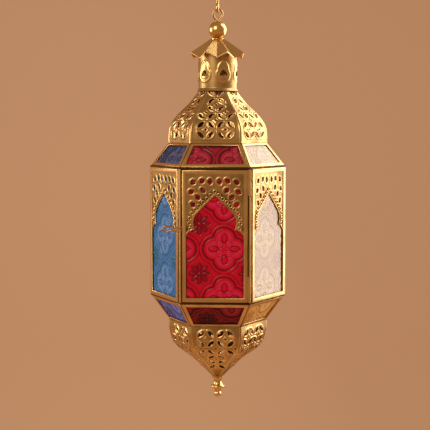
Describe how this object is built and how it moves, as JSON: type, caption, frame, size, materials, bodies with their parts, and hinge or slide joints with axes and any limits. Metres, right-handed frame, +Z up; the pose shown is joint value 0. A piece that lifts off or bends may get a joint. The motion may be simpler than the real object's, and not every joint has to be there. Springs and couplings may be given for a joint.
{
  "type": "ramadan fanous lantern",
  "caption": "Six-sided hanging brass fanous lantern with pierced domes, patterned coloured glass, a hinged door and a pleated cap.",
  "frame": {"origin": "inside top of the hook's crook, where the hook rests on the nail or ceiling hook that holds it", "axes": "+Z up along the line of hang, -Y out of the door side, +X to the right of someone facing the door"},
  "size_m": [0.1208, 0.1076, 0.3907],
  "materials": {
    "brass": "satin antique brass",
    "glass_red": "figured red glass",
    "glass_blue": "figured blue glass",
    "glass_amber": "figured amber glass",
    "glass_green": "figured green glass"
  },
  "bodies": {
    "hook": {"hanging_hook": "brass"},
    "loop": {"hanging_loop": "brass"},
    "lantern": {"ball": "brass", "pleated_cap": "brass", "neck": "brass", "upper_ring": "brass", "lower_ring": "brass", "corner_posts": "brass", "hinge_pin": "brass", "hinge_barrel": "brass", "floor_plate": "brass", "candle_cup": "brass", "finial": "brass", "upper_collar_frames": "brass", "lower_collar_frames": "brass", "dome_panel_front": "brass", "bowl_panel_front": "brass", "upper_glass_front": "glass_red", "lower_glass_front": "glass_red", "dome_panel_front_right": "brass", "bowl_panel_front_right": "brass", "upper_glass_front_right": "glass_amber", "lower_glass_front_right": "glass_amber", "side_frame_front_right": "brass", "side_fret_front_right": "brass", "side_glass_front_right": "glass_amber", "dome_panel_back_right": "brass", "bowl_panel_back_right": "brass", "upper_glass_back_right": "glass_green", "lower_glass_back_right": "glass_green", "side_frame_back_right": "brass", "side_fret_back_right": "brass", "side_glass_back_right": "glass_green", "dome_panel_back": "brass", "bowl_panel_back": "brass", "upper_glass_back": "glass_red", "lower_glass_back": "glass_red", "side_frame_back": "brass", "side_fret_back": "brass", "side_glass_back": "glass_red", "dome_panel_back_left": "brass", "bowl_panel_back_left": "brass", "upper_glass_back_left": "glass_amber", "lower_glass_back_left": "glass_amber", "side_frame_back_left": "brass", "side_fret_back_left": "brass", "side_glass_back_left": "glass_amber", "dome_panel_front_left": "brass", "bowl_panel_front_left": "brass", "upper_glass_front_left": "glass_blue", "lower_glass_front_left": "glass_blue", "side_frame_front_left": "brass", "side_fret_front_left": "brass", "side_glass_front_left": "glass_blue"},
    "door": {"door_frame": "brass", "door_fret": "brass", "door_glass": "glass_red", "door_knuckle_upper": "brass", "door_knuckle_lower": "brass", "door_pull": "brass"}
  },
  "joints": [
    {"name": "hook_swing", "type": "hinge", "parent": "hook", "child": "loop", "pos_m": [0, 0, -0.04072], "axis": [1, 0, 0], "range_deg": [-60, 60]},
    {"name": "loop_swivel", "type": "hinge", "parent": "loop", "child": "lantern", "pos_m": [0, 0, -0.05882], "axis": [0, 0, 1], "continuous": true},
    {"name": "door_hinge", "type": "hinge", "parent": "lantern", "child": "door", "pos_m": [0.0296, -0.05127, -0.23656], "axis": [0, 0, 1], "range_deg": [0, 125]}
  ]
}
